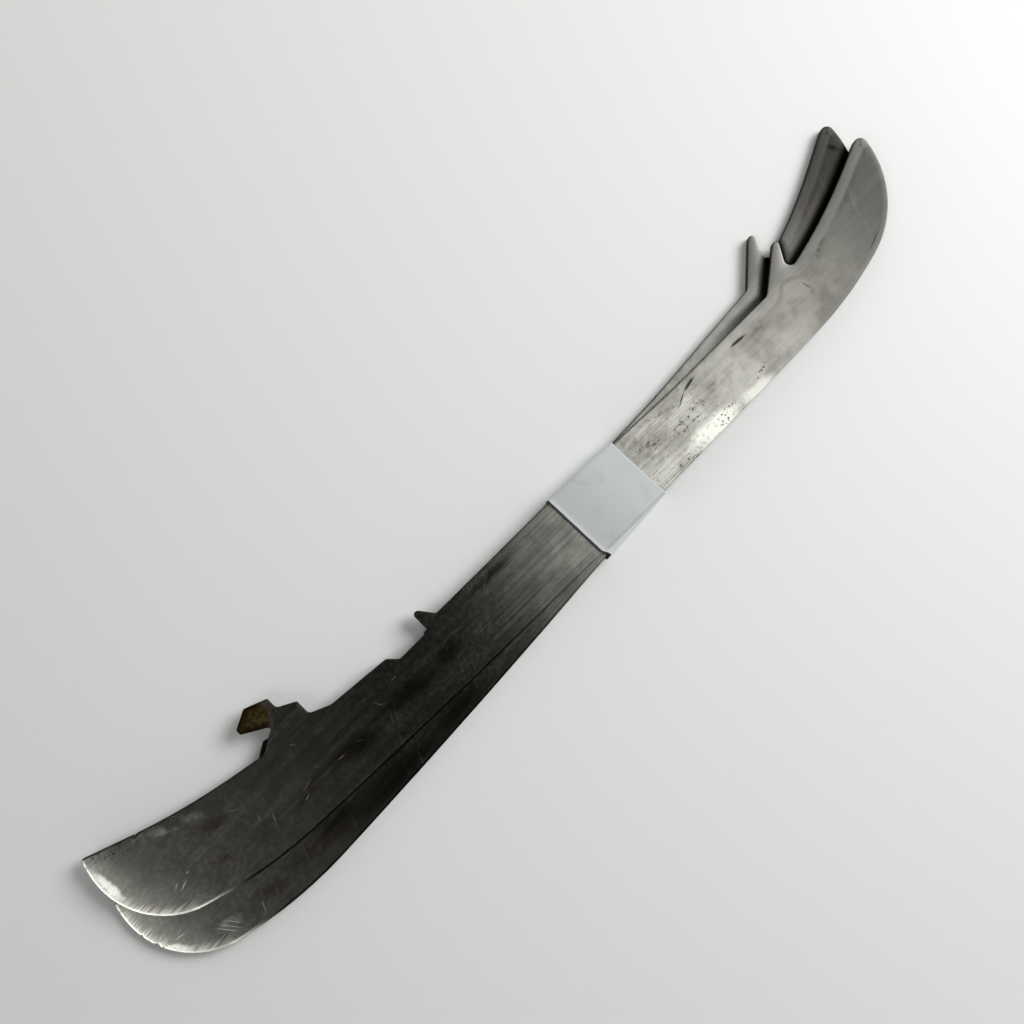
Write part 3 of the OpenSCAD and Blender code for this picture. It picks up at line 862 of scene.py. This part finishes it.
def soft_room(scene, sizes):
    """Pale room light, with brighter panels over the toes and beyond the heels and dark cards between."""
    world = bpy.data.worlds.new("soft_room")
    scene.world = world
    world.use_nodes = True
    tree = world.node_tree
    tree.nodes.clear()
    way = add(tree, "TexCoord", out="Generated")
    light = sizes.ceiling
    for tilt, lean, outer, inner, outside, within, operation in ROOM_LIGHT.values():
        centre = Vector((sin(radians(tilt)), sin(radians(lean)), cos(radians(tilt)))).normalized()
        facing = add(tree, "VectorMath", {0: way, 1: centre}, out="Value", operation="DOT_PRODUCT")
        patch = add(tree, "MapRange", {0: facing, 1: cos(radians(outer)), 2: cos(radians(inner)),
                                       3: outside, 4: within}, interpolation_type="SMOOTHSTEP")
        light = add(tree, "Math", {0: light, 1: patch}, operation=operation)
    glow = add(tree, "Background", {"Color": ROOM_TINT, "Strength": light})
    add(tree, "OutputWorld", {"Surface": glow})


def aimed(at, aim, up):
    """A matrix that stands at a place and looks at another, with a direction for up."""
    back = (at - aim).normalized()
    right = up.cross(back).normalized()
    return Matrix.Translation(at) @ Matrix((right, back.cross(right), back)).transposed().to_4x4()


class RUNNERS_OT_set_stage(bpy.types.Operator):
    """Makes the floor, the light and the camera"""

    bl_idname = "runners.set_stage"
    bl_label = "Set Stage"

    def execute(self, context):
        scene = context.scene
        sizes = scene.stage_sizes
        half = sizes.floor_size / 2
        mesh = bpy.data.meshes.new("floor")
        corners = [(-half, -half), (half, -half), (half, half), (-half, half)]
        mesh.from_pydata([(x, y, -FLOOR_DROP) for x, y in corners], [], [(0, 1, 2, 3)])
        mesh.materials.append(floor_paint(sizes))
        floor = bpy.data.objects.new("floor", mesh)
        scene.collection.objects.link(floor)

        soft_room(scene, sizes)
        for name, power, side, at, glossy in (
            ("key_light", sizes.key_power, 0.5, (0.64, -0.13, 0.60), True),
            ("fill_light", sizes.fill_power, 0.5, (0.33, 0.50, 0.50), False),
        ):
            lamp = bpy.data.lights.new(name, "AREA")
            lamp.energy = power
            lamp.size = side
            holder = bpy.data.objects.new(name, lamp)
            holder.matrix_world = aimed(Vector(at), LIGHT_AIM, Vector((0.0, 1.0, 0.0)))
            holder.visible_camera = False
            holder.visible_glossy = glossy
            scene.collection.objects.link(holder)

        view = bpy.data.cameras.new("camera")
        view.lens = sizes.lens
        view.sensor_width = SENSOR_MM
        view.clip_start = NEAREST_SEEN
        camera = bpy.data.objects.new("camera", view)
        camera.matrix_world = aimed(Vector(sizes.camera_at), Vector(sizes.camera_aim),
                                    Vector(sizes.image_up))
        scene.collection.objects.link(camera)
        scene.camera = camera
        scene.view_settings.view_transform = "Standard"
        return {"FINISHED"}


class RUNNERS_PT_sidebar(bpy.types.Panel):
    """Lists the steps that make the pair"""

    bl_idname = "RUNNERS_PT_sidebar"
    bl_label = "Skate Runner Pair"
    bl_space_type = "VIEW_3D"
    bl_region_type = "UI"
    bl_category = "Runners"

    def draw(self, context):
        for step in STEPS:
            self.layout.operator(step.bl_idname)


STEPS = (RUNNERS_OT_set_stage, RUNNERS_OT_make_runners, RUNNERS_OT_make_band)
GROUPS = {"runner_sizes": RunnerSizes, "band_sizes": BandSizes, "stage_sizes": StageSizes}


def register():
    """Adds the classes and the scene's size groups."""
    for group in (*GROUPS.values(), *STEPS, RUNNERS_PT_sidebar):
        bpy.utils.register_class(group)
    for name, group in GROUPS.items():
        setattr(bpy.types.Scene, name, PointerProperty(type=group))


def unregister():
    """Takes them away again."""
    for name in GROUPS:
        delattr(bpy.types.Scene, name)
    for group in (RUNNERS_PT_sidebar, *reversed(STEPS), *GROUPS.values()):
        bpy.utils.unregister_class(group)


def main():
    """Makes the stage, the runners and the band."""
    register()
    bpy.ops.runners.set_stage()
    bpy.ops.runners.make_runners()
    bpy.ops.runners.make_band()


if __name__ == "__main__":
    main()
